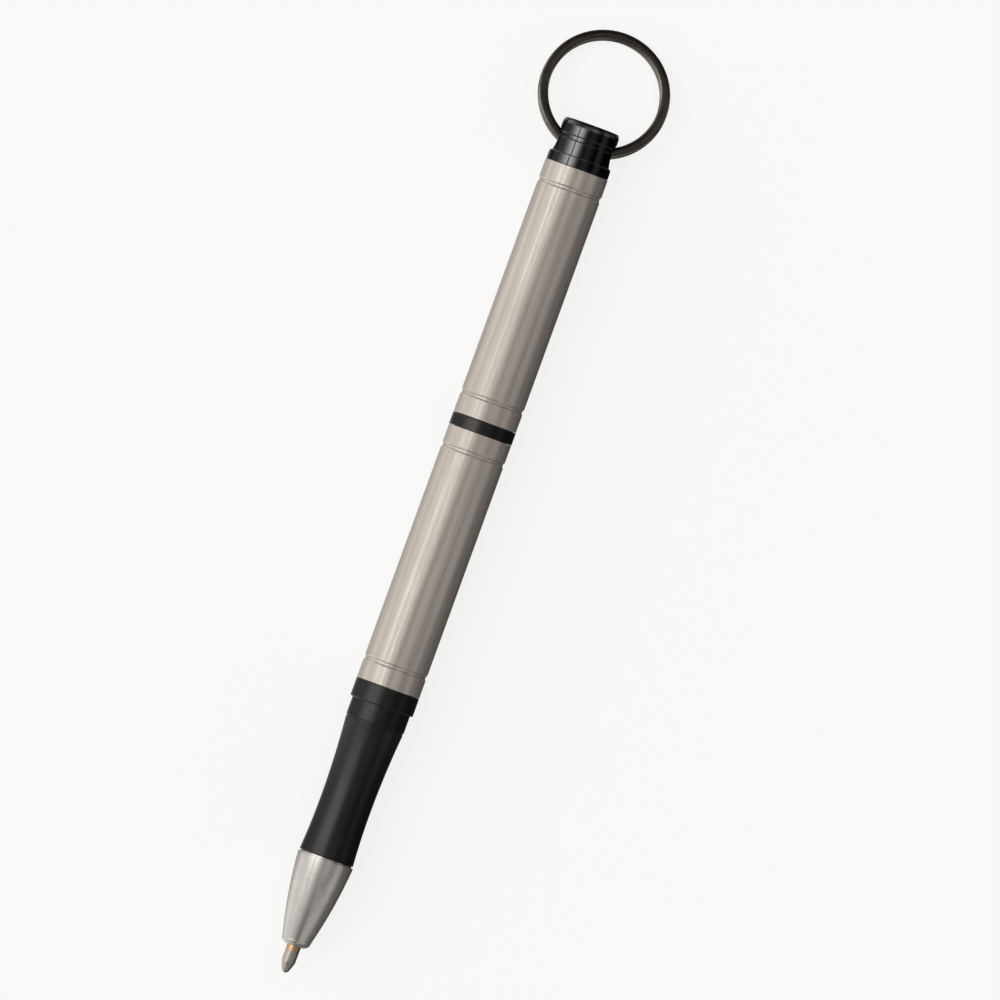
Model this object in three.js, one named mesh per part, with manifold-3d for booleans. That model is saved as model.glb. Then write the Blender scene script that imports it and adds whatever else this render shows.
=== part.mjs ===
// A pocket technical pen with a screw-on writing section and a pull-off cap that carries a key ring.
// The cap is pushed onto the tail of the barrel, as it is while writing.
//
// Millimetres, +Z up. The pen lies on its side on the plane z = 0 and points along +X.
// Stations are distances along the pen from the plane where the cap's mouth stops on the tail:
// the cap and its ring lie at negative stations, the barrel and the writing tip at positive ones.
// The origin of the finished part is the middle of its footprint, at the height of the plane it lies on.

import * as THREE from 'three';
import { mergeVertices } from 'three/addons/utils/BufferGeometryUtils.js';
import Module from 'manifold-3d';

const wasm = await Module();
wasm.setup();

// ---- Driving dimensions -------------------------------------------------------------------------

const SIDES = 36; // facets round the outer turned pieces, with a flat facing down
const INNER_SIDES = 20; // facets round the small pieces inside
const PRESS_GAP = 0.02; // radial gap between pieces pressed together
const FACE_GAP = 0.05; // axial gap between faces that meet
const END_ROOM = 0.1; // axial room past the end of a spigot in its bore
const EDGE = 0.12; // the small bevel on turned edges

const TUBE_R = 5; // both silver tubes
const ROLLED_GROOVE = { width: 0.75, floorWidth: 0.3, depth: 0.17, fromEnd: 3.25 };
const TUBE_EDGE = 0.06; // the bevel on the tubes' ends

// Cap
const CAP = { mouth: -0.03, end: -40.72, boreR: 4.66 };
const PLUG = { collarEnd: -42.37, end: -47.77, collarR: 4.93, landR: 4.6, stemR: 4.5, spigotLength: 5.2 };
const PLUG_FACE = { r: 4, roundLength: 1.1 };
const PLUG_GROOVE = { start: 2.33, end: 3.12, r: 4.4, side: 0.1 }; // stations counted from the plug's end
const PLUG_BORE = { mouthR: 3.3, r: 1.3, coneStart: 0.3, coneEnd: 1.1, bottom: 4.95, drillPoint: 0.2 };
const CROSS_HOLE = { fromEnd: 3.45, r: 1.62, chamfer: 0.32 };

// Key ring: flat wire wound into two turns
const RING = { meanR: 9.28, wireWidth: 1.56, wireHeight: 0.73, turnGap: 0.05, stepsPerTurn: 48 };
const RING_CENTRE_FROM_HOLE = 8.75;
const RING_STEP = { ending: 17, length: 26, endGap: 4 }; // degrees: the step is inside the plug's hole
const FLOOR_CLEARANCE = 0.02; // under the ring's far rim

// Barrel
const BARREL = { start: 2.02, end: 42.75, boreR: 4.2 };
const BAND = { start: 0.04, end: 1.98, r: 5.025, chamfer: 0.14 };
const TAIL = { end: -5.2, landR: 4.6, landLength: 2.35, stemR: 4.5, chamfer: 0.45 };
const TAIL_NECK = { length: 0.4, side: 0.05, r: 4.45 }; // between the tail's land and its stem
const TAIL_SPIGOT_END = 8;
const TAIL_BORE = { r: 3.1, bottom: -4.1 };

// Screw thread between the barrel and the writing section, right-handed
const THREAD = { pitch: 0.75, rootR: 3.32, crestR: 3.6, turns: 5, start: 37.65, stepsPerTurn: 18 };
const THREAD_RIDGE = { base: 0.5, crest: 0.2 };
const THREAD_CLEARANCE = 0.08;
const BUSH = { start: 36.4, end: 41.6, boreR: 3.43 };
const SEAL = { station: 42.18, meanR: 3.76, sectionR: 0.41 };

// Writing section
const SHANK = { start: 37.2, end: 50, pressR: 3.9 };
const GRIP = { start: 42.84, collarEnd: 45.78, neckEnd: 48.6, grooveEnd: 48.9, end: 70.2 };
const GRIP_R = { collar: 5.015, neck: 4.62, groove: 4.53, rear: 4.57, waist: 3.975, front: 4.285 };
const GRIP_BOW = { toWaist: -0.15, fromWaist: -0.075 }; // how far the two sides of the waist bow inwards
const WAIST_STATION = 61.9;
const REFILL_BORE_R = 3.05; // through the shank, the grip and the back of the nose cone
const CONE = { start: 70.47, spigotStart: 65.6, end: 84.4, baseR: 4.4, neckR: 4.08 };
const NOSE = { length: 0.8, sideR: 2.22, faceR: 1.42, bulge: 0.22 }; // the rounded front of the cone
const CONE_BULGE = 0.29; // how far the cone's side bows out from straight
const CONE_SPIGOT_R = 3.58;
const CONE_SEAT = 73.6; // step inside the cone that the refill's shoulder rests on
const CONE_INNER_R = 1.75;
const CONE_MOUTH = { start: 82.2, r: 1.22, taper: 0.4 };

// Refill
const REFILL = { start: 0, tubeStart: 3, tubeEnd: 73.2, tubeR: 2.9, tubeBoreR: 2.6, plugEnd: 6, chamfer: 0.4 };
const FLOAT = { start: 19.4, end: 21.9, lipLength: 0.6, lipSide: 0.2, waistDepth: 0.3 };
const INK = { start: 21.95, end: 69.4 };
const HOLDER = { start: 69.45, flangeEnd: 73.52, end: 85.24, noseR: 1.65, frontR: 1.09, inkR: 0.6 };
const HOLDER_TAPER = { start: 81.4, end: 82.3 };
const TIP = { shankStart: 81.9, shankR: 0.8, r: 1.06, start: 85.26, taperStart: 86.96, rimR: 0.52, inkR: 0.3 };
const BALL = { station: 88.23, r: 0.5, socketR: 0.525, rimPastCentre: 0.2 };

// Spring behind the refill
const SPRING = { meanR: 2.3, wireR: 0.2, turns: 4.5, stepsPerTurn: 16 };

// ---- Materials ----------------------------------------------------------------------------------

function material(color, roughness, metalness) {
  return new THREE.MeshStandardMaterial({ color, roughness, metalness });
}

const brushedSteel = material('#bdb6ad', 0.38, 1);
const glossBlack = material('#0d0d0e', 0.12, 0.3);
const satinBlack = material('#26262a', 0.5, 0.4);
const gunmetal = material('#4a4540', 0.32, 1);
const brass = material('#b98d4f', 0.3, 1);
const copper = material('#a8623c', 0.3, 1);
const polishedSteel = material('#c9c7c3', 0.22, 1);
const rubber = material('#161616', 0.8, 0);
const plastic = material('#d9d6cc', 0.5, 0);
const ink = material('#06060a', 0.2, 0);
const carbide = material('#8f9094', 0.15, 1);

// ---- Shape helpers ------------------------------------------------------------------------------

/**
 * A body turned about X. The outline is a list of [station, radius] points that goes from the tail to the
 * front along the outside and back along the inside; a solid body's outline starts and ends on the axis.
 */
function turned(outline, sides = SIDES) {
  const profile = outline.map(([station, radius]) => new THREE.Vector2(radius, station));
  if (outline[0][1] > 0) {
    profile.push(profile[0].clone());
  }
  const flatDown = Math.PI / sides;
  return new THREE.LatheGeometry(profile, sides, flatDown).rotateZ(-Math.PI / 2);
}

/** Points along a bowed line from one [station, radius] to another; bulge is its height at the middle. */
function bowed([x0, r0], [x1, r1], bulge, steps) {
  const points = [];
  for (let i = 0; i <= steps; i += 1) {
    const t = i / steps;
    points.push([x0 + (x1 - x0) * t, r0 + (r1 - r0) * t + 4 * bulge * t * (1 - t)]);
  }
  return points;
}

/** A quarter-ellipse from an end face's rim [station, radius] round to the side of the body. */
function rounded([faceStation, faceR], [sideStation, sideR], steps) {
  const points = [];
  for (let i = 0; i <= steps; i += 1) {
    const angle = Math.PI / 2 * i / steps;
    points.push([
      sideStation + (faceStation - sideStation) * Math.cos(angle),
      faceR + (sideR - faceR) * Math.sin(angle),
    ]);
  }
  return points;
}

/** The four outline points of a rolled groove round a tube. */
function rolledGroove(station, radius) {
  const half = ROLLED_GROOVE.width / 2;
  const floorHalf = ROLLED_GROOVE.floorWidth / 2;
  const floorR = radius - ROLLED_GROOVE.depth;
  return [[station - half, radius], [station - floorHalf, floorR], [station + floorHalf, floorR],
    [station + half, radius]];
}

/** A tube with a rolled groove near each end. */
function groovedTube(start, end, boreR) {
  return turned([
    [start, boreR],
    [start, TUBE_R - TUBE_EDGE],
    [start + TUBE_EDGE, TUBE_R],
    ...rolledGroove(start + ROLLED_GROOVE.fromEnd, TUBE_R),
    ...rolledGroove(end - ROLLED_GROOVE.fromEnd, TUBE_R),
    [end - TUBE_EDGE, TUBE_R],
    [end, TUBE_R - TUBE_EDGE],
    [end, boreR],
  ]);
}

/**
 * The centre line of wire wound about Z. riseAt gives its height at each angle, in radians.
 * Its frames keep a section's x pointing away from the axis and its y along the axis.
 */
class WoundLine extends THREE.Curve {
  constructor(radius, startAngle, sweep, riseAt) {
    super();
    this.radius = radius;
    this.startAngle = startAngle;
    this.sweep = sweep;
    this.riseAt = riseAt;
  }

  getPoint(t, target = new THREE.Vector3()) {
    const turnedBy = t * this.sweep;
    const angle = this.startAngle + turnedBy;
    return target.set(this.radius * Math.cos(angle), this.radius * Math.sin(angle), this.riseAt(turnedBy));
  }

  computeFrenetFrames(segments) {
    const frames = { tangents: [], normals: [], binormals: [] };
    for (let i = 0; i <= segments; i += 1) {
      const away = this.getPointAt(i / segments).setZ(0).normalize();
      frames.tangents.push(this.getTangentAt(i / segments));
      frames.normals.push(away);
      frames.binormals.push(new THREE.Vector3(0, 0, -1));
    }
    return frames;
  }
}

/** Wire of the given section wound along a line. */
function wound(section, line, steps) {
  line.arcLengthDivisions = steps * 4;
  return new THREE.ExtrudeGeometry(section, { extrudePath: line, steps });
}

/** A closed shape through the given points. */
function polygon(points) {
  return new THREE.Shape(points.map(([x, y]) => new THREE.Vector2(x, y)));
}

/** A closed mesh as a solid for joining and cutting. */
function toSolid(geometry) {
  const bare = geometry.clone();
  bare.deleteAttribute('normal');
  bare.deleteAttribute('uv');
  const merged = mergeVertices(bare, 1e-5);
  return new wasm.Manifold(new wasm.Mesh({
    numProp: 3,
    vertProperties: Float32Array.from(merged.attributes.position.array),
    triVerts: Uint32Array.from(merged.index.array),
  }));
}

/** A solid back as a mesh with flat faces. */
function toGeometry(solid) {
  const { vertProperties, triVerts } = solid.getMesh();
  const geometry = new THREE.BufferGeometry();
  geometry.setAttribute('position', new THREE.BufferAttribute(vertProperties, 3));
  geometry.setIndex(new THREE.BufferAttribute(triVerts, 1));
  const flat = geometry.toNonIndexed();
  flat.computeVertexNormals();
  return flat;
}

function named(name, geometry, look) {
  const mesh = new THREE.Mesh(geometry, look);
  mesh.name = name;
  return mesh;
}

// ---- Cap ----------------------------------------------------------------------------------------

function capTube() {
  return groovedTube(CAP.end, CAP.mouth, CAP.boreR);
}

/** Station of the cross hole that the key ring passes through. */
const holeStation = PLUG.end + CROSS_HOLE.fromEnd;

/** The hole for the key ring, with a chamfer at both mouths, ready to be cut from the plug. */
function crossHole() {
  const beyond = 0.5; // the cutter stands this far out of the plug
  const reach = PLUG.stemR + beyond;
  const mouthR = CROSS_HOLE.r + CROSS_HOLE.chamfer + beyond;
  const hole = new THREE.LatheGeometry([
    new THREE.Vector2(0, -reach),
    new THREE.Vector2(mouthR, -reach),
    new THREE.Vector2(CROSS_HOLE.r, -PLUG.stemR + CROSS_HOLE.chamfer),
    new THREE.Vector2(CROSS_HOLE.r, PLUG.stemR - CROSS_HOLE.chamfer),
    new THREE.Vector2(mouthR, reach),
    new THREE.Vector2(0, reach),
  ], INNER_SIDES, Math.PI / INNER_SIDES);
  return hole.translate(holeStation, 0, 0);
}

/** The black plug in the cap's end. Its blind bore takes the writing tip when the cap is on the front. */
function capEndPlug() {
  const spigotR = CAP.boreR - PRESS_GAP;
  const spigotEnd = CAP.end + PLUG.spigotLength;
  const grooveStart = PLUG.end + PLUG_GROOVE.start;
  const grooveEnd = PLUG.end + PLUG_GROOVE.end;
  const body = turned([
    [PLUG.end, 0],
    ...rounded([PLUG.end, PLUG_FACE.r], [PLUG.end + PLUG_FACE.roundLength, PLUG.stemR], 4),
    [grooveStart, PLUG.stemR],
    [grooveStart + PLUG_GROOVE.side, PLUG_GROOVE.r],
    [grooveEnd - PLUG_GROOVE.side, PLUG_GROOVE.r],
    [grooveEnd, PLUG.landR],
    [PLUG.collarEnd, PLUG.landR],
    [PLUG.collarEnd, PLUG.collarR - EDGE],
    [PLUG.collarEnd + EDGE, PLUG.collarR],
    [CAP.end - FACE_GAP, PLUG.collarR],
    [CAP.end - FACE_GAP, spigotR],
    [spigotEnd, spigotR],
    [spigotEnd, PLUG_BORE.mouthR],
    [CAP.end - PLUG_BORE.coneStart, PLUG_BORE.mouthR],
    [CAP.end - PLUG_BORE.coneEnd, PLUG_BORE.r],
    [PLUG.end + PLUG_BORE.bottom, PLUG_BORE.r],
    [PLUG.end + PLUG_BORE.bottom - PLUG_BORE.drillPoint, 0],
  ]);
  return toGeometry(toSolid(body).subtract(toSolid(crossHole())));
}

/** Two flat turns of wire about Z, centred on its own origin, with the pen crossing it towards +X. */
function keyRingWire() {
  const rise = RING.wireHeight + RING.turnGap;
  const degrees = THREE.MathUtils.degToRad;
  const stepStart = 2 * Math.PI - degrees(RING_STEP.length + RING_STEP.endGap);
  const stepEnd = 2 * Math.PI - degrees(RING_STEP.endGap);
  const sweep = stepStart + 2 * Math.PI - degrees(RING_STEP.endGap);
  const riseAt = (angle) => rise * (THREE.MathUtils.smoothstep(angle, stepStart, stepEnd) - 0.5);
  const line = new WoundLine(RING.meanR, degrees(RING_STEP.ending), sweep, riseAt);
  const w = RING.wireWidth / 2;
  const h = RING.wireHeight / 2;
  const section = polygon([[-w, -h], [w, -h], [w, h], [-w, h]]);
  const steps = Math.round(RING.stepsPerTurn * sweep / (2 * Math.PI));
  return wound(section, line, steps);
}

/** How far the ring hangs down from the pen's axis when its far rim lies on the floor, in radians. */
function ringDroop() {
  const halfThickness = RING.wireHeight + RING.turnGap / 2;
  const rimReach = RING_CENTRE_FROM_HOLE + RING.meanR + RING.wireWidth / 2;
  const axisHeight = BAND.r * Math.cos(Math.PI / SIDES) - FLOOR_CLEARANCE;
  const cornerReach = Math.hypot(rimReach, halfThickness);
  return Math.asin(axisHeight / cornerReach) - Math.atan(halfThickness / rimReach);
}

/** The key ring threaded through the plug's cross hole, hanging down to the floor. */
function keyRing() {
  const swing = new THREE.Group();
  swing.position.x = holeStation;
  swing.rotation.y = -ringDroop();
  const ring = named('key_ring', keyRingWire(), gunmetal);
  ring.position.x = -RING_CENTRE_FROM_HOLE;
  swing.add(ring);
  return swing;
}

// ---- Barrel -------------------------------------------------------------------------------------

function barrelTube() {
  return groovedTube(BARREL.start, BARREL.end, BARREL.boreR);
}

function tailBand() {
  return turned([
    [BAND.start, BARREL.boreR],
    [BAND.start, BAND.r - BAND.chamfer],
    [BAND.start + BAND.chamfer, BAND.r],
    [BAND.end, BAND.r],
    [BAND.end, BARREL.boreR],
  ]);
}

/** The black plug that closes the barrel. The cap grips its land, and its bore holds the refill's tail. */
function tailPlug() {
  const spigotR = BARREL.boreR - PRESS_GAP;
  const neckEnd = -TAIL.landLength - TAIL_NECK.length;
  return turned([
    [TAIL.end, 0],
    [TAIL.end, TAIL.stemR - TAIL.chamfer],
    [TAIL.end + TAIL.chamfer, TAIL.stemR],
    [neckEnd - TAIL_NECK.side, TAIL.stemR],
    [neckEnd, TAIL_NECK.r],
    [-TAIL.landLength - TAIL_NECK.side, TAIL_NECK.r],
    [-TAIL.landLength, TAIL.landR],
    [0, TAIL.landR],
    [0, spigotR],
    [TAIL_SPIGOT_END, spigotR],
    [TAIL_SPIGOT_END, TAIL_BORE.r],
    [TAIL_BORE.bottom, TAIL_BORE.r],
    [TAIL_BORE.bottom, 0],
  ]);
}

/** A thread's ridge, or with a clearance the groove that it runs in, wound about X. */
function threadRidge(startStation, turns, clearance) {
  const innerR = THREAD.rootR - 0.1; // sunk a little into the shank, to join it
  const outerR = THREAD.crestR + clearance;
  const slope = (THREAD_RIDGE.base - THREAD_RIDGE.crest) / 2 / (THREAD.crestR - THREAD.rootR);
  const halfAt = (radius) => THREAD_RIDGE.base / 2 - slope * (radius - THREAD.rootR) + clearance;
  const section = polygon([
    [innerR - THREAD.rootR, -halfAt(THREAD.rootR)],
    [0, -halfAt(THREAD.rootR)],
    [outerR - THREAD.rootR, -halfAt(outerR)],
    [outerR - THREAD.rootR, halfAt(outerR)],
    [0, halfAt(THREAD.rootR)],
    [innerR - THREAD.rootR, halfAt(THREAD.rootR)],
  ]);
  const startAngle = (startStation - THREAD.start) / THREAD.pitch * 2 * Math.PI;
  const riseAt = (angle) => angle / (2 * Math.PI) * THREAD.pitch;
  const line = new WoundLine(THREAD.rootR, startAngle, turns * 2 * Math.PI, riseAt);
  const ridge = wound(section, line, Math.round(turns * THREAD.stepsPerTurn));
  return ridge.rotateY(Math.PI / 2).translate(startStation, 0, 0);
}

/** The threaded bush pressed into the barrel's front end. */
function threadBush() {
  const body = turned([
    [BUSH.start, BUSH.boreR],
    [BUSH.start, BARREL.boreR - PRESS_GAP],
    [BUSH.end, BARREL.boreR - PRESS_GAP],
    [BUSH.end, BUSH.boreR],
  ], INNER_SIDES);
  const turnsBefore = Math.ceil((THREAD.start - BUSH.start) / THREAD.pitch) + 1;
  const turnsAfter = Math.ceil((BUSH.end - THREAD.start) / THREAD.pitch) + 1;
  const grooveStart = THREAD.start - turnsBefore * THREAD.pitch;
  const groove = threadRidge(grooveStart, turnsBefore + turnsAfter, THREAD_CLEARANCE);
  return toGeometry(toSolid(body).subtract(toSolid(groove)));
}

/** The light spring that pushes the refill forward, between the tail plug and the refill's end. */
function refillSpring() {
  const start = TAIL_BORE.bottom + FACE_GAP + SPRING.wireR;
  const length = REFILL.start - FACE_GAP - SPRING.wireR - start;
  const sweep = SPRING.turns * 2 * Math.PI;
  const line = new WoundLine(SPRING.meanR, 0, sweep, (angle) => length * angle / sweep);
  const corners = Array.from({ length: 6 }, (_, i) => i * Math.PI / 3);
  const section = polygon(corners.map((a) => [SPRING.wireR * Math.cos(a), SPRING.wireR * Math.sin(a)]));
  const coil = wound(section, line, SPRING.turns * SPRING.stepsPerTurn);
  return coil.rotateY(Math.PI / 2).translate(start, 0, 0);
}

// ---- Writing section ----------------------------------------------------------------------------

/** The threaded brass shank pressed into the back of the grip. The refill passes through it. */
function threadShank() {
  const shoulder = GRIP.start + END_ROOM;
  const body = turned([
    [SHANK.start, REFILL_BORE_R],
    [SHANK.start, THREAD.rootR],
    [shoulder, THREAD.rootR],
    [shoulder, SHANK.pressR - PRESS_GAP],
    [SHANK.end, SHANK.pressR - PRESS_GAP],
    [SHANK.end, REFILL_BORE_R],
  ], INNER_SIDES);
  const ridge = threadRidge(THREAD.start, THREAD.turns, 0);
  return toGeometry(toSolid(body).add(toSolid(ridge)));
}

/** The rubber ring that seals the screw joint. */
function threadSeal() {
  const outline = [];
  const corners = 10;
  for (let i = 0; i < corners; i += 1) {
    const angle = -2 * Math.PI * i / corners;
    const radius = SEAL.meanR - SEAL.sectionR * Math.sin(angle);
    outline.push([SEAL.station + SEAL.sectionR * Math.cos(angle), radius]);
  }
  return turned(outline.reverse(), INNER_SIDES);
}

/** The black grip with its collar, the land that the cap closes on, and its waist. */
function gripSection() {
  const grooveSide = 0.06;
  const waist = [WAIST_STATION, GRIP_R.waist];
  const toWaist = bowed([GRIP.grooveEnd + grooveSide, GRIP_R.rear], waist, GRIP_BOW.toWaist, 6);
  const fromWaist = bowed(waist, [GRIP.end - EDGE, GRIP_R.front], GRIP_BOW.fromWaist, 4);
  return turned([
    [GRIP.start, SHANK.pressR],
    [GRIP.start, GRIP_R.collar - EDGE],
    [GRIP.start + EDGE, GRIP_R.collar],
    [GRIP.collarEnd, GRIP_R.collar],
    [GRIP.collarEnd, GRIP_R.neck],
    [GRIP.neckEnd, GRIP_R.neck],
    [GRIP.neckEnd + grooveSide, GRIP_R.groove],
    [GRIP.grooveEnd, GRIP_R.groove],
    ...toWaist,
    ...fromWaist.slice(1),
    [GRIP.end, GRIP_R.front - EDGE],
    [GRIP.end, CONE_SPIGOT_R + PRESS_GAP],
    [CONE.spigotStart - END_ROOM, CONE_SPIGOT_R + PRESS_GAP],
    [CONE.spigotStart - END_ROOM, REFILL_BORE_R],
    [SHANK.end + END_ROOM, REFILL_BORE_R],
    [SHANK.end + END_ROOM, SHANK.pressR],
  ]);
}

/** The silver nose cone, with the step that the refill's shoulder rests on. */
function noseCone() {
  const noseStart = CONE.end - NOSE.length;
  return turned([
    [CONE.spigotStart, REFILL_BORE_R],
    [CONE.spigotStart, CONE_SPIGOT_R],
    [GRIP.end + FACE_GAP, CONE_SPIGOT_R],
    [GRIP.end + FACE_GAP, CONE.neckR],
    [CONE.start, CONE.neckR],
    ...bowed([CONE.start, CONE.baseR], [noseStart, NOSE.sideR], CONE_BULGE, 8),
    ...bowed([noseStart, NOSE.sideR], [CONE.end, NOSE.faceR], NOSE.bulge, 4).slice(1),
    [CONE.end, CONE_MOUTH.r],
    [CONE_MOUTH.start, CONE_MOUTH.r],
    [CONE_MOUTH.start - CONE_MOUTH.taper, CONE_INNER_R],
    [CONE_SEAT, CONE_INNER_R],
    [CONE_SEAT, REFILL_BORE_R],
  ]);
}

// ---- Refill -------------------------------------------------------------------------------------

function refillTube() {
  return turned([
    [REFILL.tubeStart, REFILL.tubeBoreR],
    [REFILL.tubeStart, REFILL.tubeR],
    [REFILL.tubeEnd, REFILL.tubeR],
    [REFILL.tubeEnd, REFILL.tubeBoreR],
  ], INNER_SIDES);
}

function refillEndPlug() {
  return turned([
    [REFILL.start, 0],
    [REFILL.start, REFILL.tubeR - REFILL.chamfer],
    [REFILL.start + REFILL.chamfer, REFILL.tubeR],
    [REFILL.tubeStart - FACE_GAP, REFILL.tubeR],
    [REFILL.tubeStart - FACE_GAP, REFILL.tubeBoreR - PRESS_GAP],
    [REFILL.plugEnd, REFILL.tubeBoreR - PRESS_GAP],
    [REFILL.plugEnd, 0],
  ], INNER_SIDES);
}

/** The float that keeps the gas behind the ink. */
function inkFloat() {
  const r = REFILL.tubeBoreR - PRESS_GAP;
  const waistR = r - FLOAT.waistDepth;
  const waistFromEnd = FLOAT.lipLength + FLOAT.lipSide;
  return turned([
    [FLOAT.start, 0],
    [FLOAT.start, r],
    [FLOAT.start + FLOAT.lipLength, r],
    [FLOAT.start + waistFromEnd, waistR],
    [FLOAT.end - waistFromEnd, waistR],
    [FLOAT.end - FLOAT.lipLength, r],
    [FLOAT.end, r],
    [FLOAT.end, 0],
  ], INNER_SIDES);
}

function inkColumn() {
  const r = REFILL.tubeBoreR - PRESS_GAP;
  return turned([[INK.start, 0], [INK.start, r], [INK.end, r], [INK.end, 0]], INNER_SIDES);
}

/** The holder that closes the refill's front end and carries the tip. */
function tipHolder() {
  return turned([
    [HOLDER.start, HOLDER.inkR],
    [HOLDER.start, REFILL.tubeBoreR - PRESS_GAP],
    [REFILL.tubeEnd + PRESS_GAP, REFILL.tubeBoreR - PRESS_GAP],
    [REFILL.tubeEnd + PRESS_GAP, REFILL.tubeR],
    [HOLDER.flangeEnd, REFILL.tubeR],
    [HOLDER.flangeEnd, HOLDER.noseR],
    [HOLDER_TAPER.start, HOLDER.noseR],
    [HOLDER_TAPER.end, HOLDER.frontR],
    [HOLDER.end, HOLDER.frontR],
    [HOLDER.end, TIP.shankR + PRESS_GAP],
    [TIP.shankStart - END_ROOM, TIP.shankR + PRESS_GAP],
    [TIP.shankStart - END_ROOM, HOLDER.inkR],
  ], INNER_SIDES);
}

/** The steel tip: a shank in the holder, a short cylinder, and a taper down to the rim round the ball. */
function writingTip() {
  const seat = [];
  const rimAngle = Math.acos(BALL.rimPastCentre / BALL.socketR);
  const seatAngle = Math.PI - Math.asin(TIP.inkR / BALL.socketR);
  const steps = 5;
  for (let i = 0; i <= steps; i += 1) {
    const angle = rimAngle + (seatAngle - rimAngle) * i / steps;
    seat.push([BALL.station + BALL.socketR * Math.cos(angle), BALL.socketR * Math.sin(angle)]);
  }
  return turned([
    [TIP.shankStart, TIP.inkR],
    [TIP.shankStart, TIP.shankR],
    [TIP.start, TIP.shankR],
    [TIP.start, TIP.r],
    [TIP.taperStart, TIP.r],
    [TIP.taperStart + 0.12, TIP.r - 0.05],
    [BALL.station + BALL.rimPastCentre, TIP.rimR],
    ...seat,
  ], INNER_SIDES);
}

function writingBall() {
  const ball = new THREE.SphereGeometry(BALL.r, 20, 12);
  return ball.rotateZ(-Math.PI / 2).translate(BALL.station, 0, 0);
}

// ---- Assembly -----------------------------------------------------------------------------------

/** Every piece of the pen, about an axis along X through the origin. */
function buildPen() {
  const pen = new THREE.Group();
  pen.add(
    named('cap_tube', capTube(), brushedSteel),
    named('cap_end_plug', capEndPlug(), glossBlack),
    keyRing(),
    named('barrel_tube', barrelTube(), brushedSteel),
    named('tail_band', tailBand(), satinBlack),
    named('tail_plug', tailPlug(), glossBlack),
    named('thread_bush', threadBush(), brass),
    named('refill_spring', refillSpring(), polishedSteel),
    named('thread_shank', threadShank(), brass),
    named('thread_seal', threadSeal(), rubber),
    named('grip_section', gripSection(), satinBlack),
    named('nose_cone', noseCone(), polishedSteel),
    named('refill_tube', refillTube(), brass),
    named('refill_end_plug', refillEndPlug(), brass),
    named('ink_float', inkFloat(), plastic),
    named('ink_column', inkColumn(), ink),
    named('tip_holder', tipHolder(), copper),
    named('writing_tip', writingTip(), polishedSteel),
    named('writing_ball', writingBall(), carbide),
  );
  return pen;
}

/** Moves the pen so that the origin is the middle of its footprint and it lies on z = 0. */
function laidDown(pen) {
  const box = new THREE.Box3().setFromObject(pen, true);
  const centre = box.getCenter(new THREE.Vector3());
  pen.position.set(-centre.x, 0, -box.min.z);
  const part = new THREE.Group();
  part.add(pen);
  return part;
}

export default laidDown(buildPen());
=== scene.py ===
"""The looks of a pocket technical pen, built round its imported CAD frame.

Every piece is a smooth turned or wound mesh in the place of one CAD node. Sizes are in millimetres, and
stations are distances along the pen from the plane of the cap's mouth, as in the CAD source.
"""

import math

import bpy
from mathutils import Matrix, Vector


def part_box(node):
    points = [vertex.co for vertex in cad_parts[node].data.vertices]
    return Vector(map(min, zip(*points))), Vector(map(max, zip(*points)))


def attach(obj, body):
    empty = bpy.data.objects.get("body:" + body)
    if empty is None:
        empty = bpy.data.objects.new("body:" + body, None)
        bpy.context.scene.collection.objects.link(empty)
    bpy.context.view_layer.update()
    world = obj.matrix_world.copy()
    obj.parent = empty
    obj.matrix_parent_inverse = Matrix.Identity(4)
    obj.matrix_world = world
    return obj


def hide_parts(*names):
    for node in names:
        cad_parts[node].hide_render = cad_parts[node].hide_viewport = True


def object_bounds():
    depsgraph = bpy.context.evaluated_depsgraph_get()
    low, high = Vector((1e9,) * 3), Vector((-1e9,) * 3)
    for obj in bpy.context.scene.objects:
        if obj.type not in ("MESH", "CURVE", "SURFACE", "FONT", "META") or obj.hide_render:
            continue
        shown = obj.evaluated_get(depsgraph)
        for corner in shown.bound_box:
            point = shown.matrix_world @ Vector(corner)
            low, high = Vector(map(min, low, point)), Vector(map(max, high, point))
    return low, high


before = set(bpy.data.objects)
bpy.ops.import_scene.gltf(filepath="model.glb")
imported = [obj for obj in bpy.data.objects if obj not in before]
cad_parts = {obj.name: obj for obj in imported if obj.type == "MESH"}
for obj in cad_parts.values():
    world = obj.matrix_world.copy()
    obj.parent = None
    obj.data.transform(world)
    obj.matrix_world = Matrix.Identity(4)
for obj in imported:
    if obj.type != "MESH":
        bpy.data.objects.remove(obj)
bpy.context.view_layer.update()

MM = 0.001
STATION_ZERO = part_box("refill_end_plug")[0].x  # the refill's tail ends in the plane of the cap's mouth
AXIS_Z = sum(corner.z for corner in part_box("barrel_tube")) / 2

SEGMENTS = 160  # round the outer pieces
SMALL_SEGMENTS = 96  # round the pieces inside
FILLET_STEPS = 5
ROUNDING_LIMIT = 0.49  # the largest share of a side that one rounding may take
SUPPORT_REACH = 1.35  # how far a support point lies from its corner, in reaches of the rounding

# ---- Sizes, in millimetres ----------------------------------------------------------------------

PRESS_GAP = 0.02
FACE_GAP = 0.05
END_ROOM = 0.1

TUBE_R = 5.0
TUBE_EDGE = 0.05
ROLLED_GROOVE = dict(width=0.8, floor=0.44, depth=0.17, from_end=3.25)

CAP = dict(mouth=-0.03, end=-40.72, bore_r=4.66)
PLUG = dict(collar_end=-42.37, end=-47.77, collar_r=4.93, land_r=4.6, stem_r=4.5, spigot=5.2)
PLUG_FACE = dict(r=4.0, round_length=1.1)
PLUG_GROOVE = dict(start=2.33, end=3.12, r=4.38)
PLUG_BORE = dict(mouth_r=3.3, r=1.3, cone_start=0.3, cone_end=1.1, bottom=4.95, drill_point=0.2)
CROSS_HOLE = dict(from_end=3.45, r=1.62, flare=0.32)

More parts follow.
